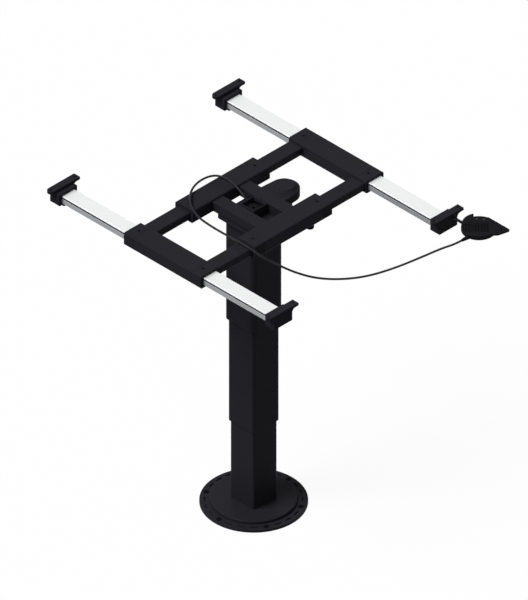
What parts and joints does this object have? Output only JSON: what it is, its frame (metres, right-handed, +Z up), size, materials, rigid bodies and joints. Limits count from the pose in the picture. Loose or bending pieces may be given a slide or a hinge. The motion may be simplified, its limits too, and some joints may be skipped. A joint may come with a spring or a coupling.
{
  "type": "lifting column",
  "caption": "Motorised telescopic square column on a round floor flange, with a sliding table frame on its head and a corded hand control.",
  "frame": {"origin": "on the floor under the column's axis", "axes": "+Z up along the column; +Y towards the motor; +X along the aluminium slides, towards the hand control"},
  "size_m": [0.7556, 0.5604, 0.7432],
  "materials": {
    "black_coat": "satin black powder coat",
    "black_plastic": "fine moulded texture",
    "charcoal_plastic": "satin moulded",
    "aluminium_slide": "clear anodised",
    "plain_steel": "zinc plated or bright turned",
    "natural_plastic": "natural acetal",
    "bronze": "turned bronze",
    "belt_rubber": "toothed belt rubber",
    "cable_jacket": "smooth cable jacket"
  },
  "bodies": {
    "base": {"floor_ring": "black_coat", "base_disc": "black_coat", "base_spigot": "plain_steel", "lower_tube": "black_coat", "lower_end_plate": "plain_steel", "lower_nut": "bronze", "lower_top_glide": "natural_plastic"},
    "middle_stage": {"middle_tube": "black_coat", "middle_glides": "natural_plastic", "middle_end_plate": "plain_steel", "middle_nut": "bronze", "bearing_cup": "plain_steel"},
    "outer_spindle": {"outer_screw": "plain_steel", "key_bush": "plain_steel"},
    "inner_spindle": {"inner_screw": "plain_steel", "screw_pulley": "plain_steel"},
    "head": {"upper_tube": "black_coat", "upper_mouth_glide": "natural_plastic", "head_plate": "black_coat", "screw_bearing": "bronze", "front_cross_bar": "black_coat", "rear_cross_bar": "black_coat", "belt_case": "black_plastic", "belt_case_lid": "black_plastic", "drive_belt": "belt_rubber", "motor_hood": "black_plastic", "motor_can": "black_coat", "motor_end_cap": "black_plastic", "motor_screws": "plain_steel", "left_sleeve": "black_coat", "right_sleeve": "black_coat", "head_sleeve_caps": "black_plastic", "head_cap_screws": "plain_steel", "crank_turret": "black_plastic", "cable_gland": "black_plastic", "cable_over_head": "cable_jacket"},
    "motor_rotor": {"motor_shaft": "plain_steel", "motor_pulley": "plain_steel"},
    "lock": {"lock_knob": "black_plastic", "lock_stud": "plain_steel"},
    "y_frame": {"left_tube": "black_coat", "right_tube": "black_coat", "front_sleeve": "black_coat", "rear_sleeve": "black_coat", "frame_sleeve_caps": "black_plastic", "frame_cap_screws": "plain_steel", "cable_bow": "cable_jacket"},
    "front_slider": {"front_slide": "aluminium_slide", "front_end_blocks": "black_plastic", "front_slide_screws": "plain_steel"},
    "rear_slider": {"rear_slide": "aluminium_slide", "rear_end_blocks": "black_plastic", "rear_slide_screws": "plain_steel", "handset_strap": "black_coat", "strap_screws": "plain_steel", "puck_base": "charcoal_plastic", "puck_cover": "charcoal_plastic", "strain_relief": "cable_jacket"},
    "up_key": {"up_button": "charcoal_plastic"},
    "down_key": {"down_button": "charcoal_plastic"}
  },
  "joints": [
    {"name": "lift_lower", "type": "slide", "parent": "base", "child": "middle_stage", "axis": [0, 0, 1], "range_m": [-0.187, 0]},
    {"name": "lift_upper", "type": "slide", "parent": "middle_stage", "child": "head", "axis": [0, 0, 1], "range_m": [-0.187, 0]},
    {"name": "outer_spindle_turn", "type": "hinge", "parent": "middle_stage", "child": "outer_spindle", "pos_m": [0, 0, 0.48], "axis": [0, 0, 1], "range_deg": [0, 8416]},
    {"name": "inner_spindle_turn", "type": "hinge", "parent": "head", "child": "inner_spindle", "pos_m": [0, 0, 0.6], "axis": [0, 0, 1], "range_deg": [0, 8416]},
    {"name": "motor_turn", "type": "hinge", "parent": "head", "child": "motor_rotor", "pos_m": [0, 0.0866, 0.7], "axis": [0, 0, 1], "range_deg": [0, 11783]},
    {"name": "y_travel", "type": "slide", "parent": "head", "child": "y_frame", "axis": [0, 1, 0], "range_m": [-0.075, 0.075], "deforming": ["cable_bow"]},
    {"name": "front_x_travel", "type": "slide", "parent": "y_frame", "child": "front_slider", "axis": [1, 0, 0], "range_m": [-0.17, 0.17]},
    {"name": "rear_x_travel", "type": "slide", "parent": "y_frame", "child": "rear_slider", "axis": [1, 0, 0], "range_m": [-0.17, 0.17], "deforming": ["cable_bow"]},
    {"name": "lock_turn", "type": "hinge", "parent": "head", "child": "lock", "pos_m": [0.088, 0.071, 0.685], "axis": [0, 0, 1], "range_deg": [0, 180]},
    {"name": "up_press", "type": "slide", "parent": "rear_slider", "child": "up_key", "axis": [0, 0, 1], "range_m": [0, 0.0015], "stiffness_N_per_m": 600, "springref_m": -0.001},
    {"name": "down_press", "type": "slide", "parent": "rear_slider", "child": "down_key", "axis": [0, 0, 1], "range_m": [0, 0.0015], "stiffness_N_per_m": 600, "springref_m": -0.001}
  ],
  "couplings": [
    {"joint": "lift_upper", "follows": "lift_lower", "ratio": 1},
    {"joint": "outer_spindle_turn", "follows": "lift_lower", "rad_per_m": -785.4},
    {"joint": "inner_spindle_turn", "follows": "lift_lower", "rad_per_m": -785.4},
    {"joint": "motor_turn", "follows": "lift_lower", "rad_per_m": -1099.6}
  ]
}
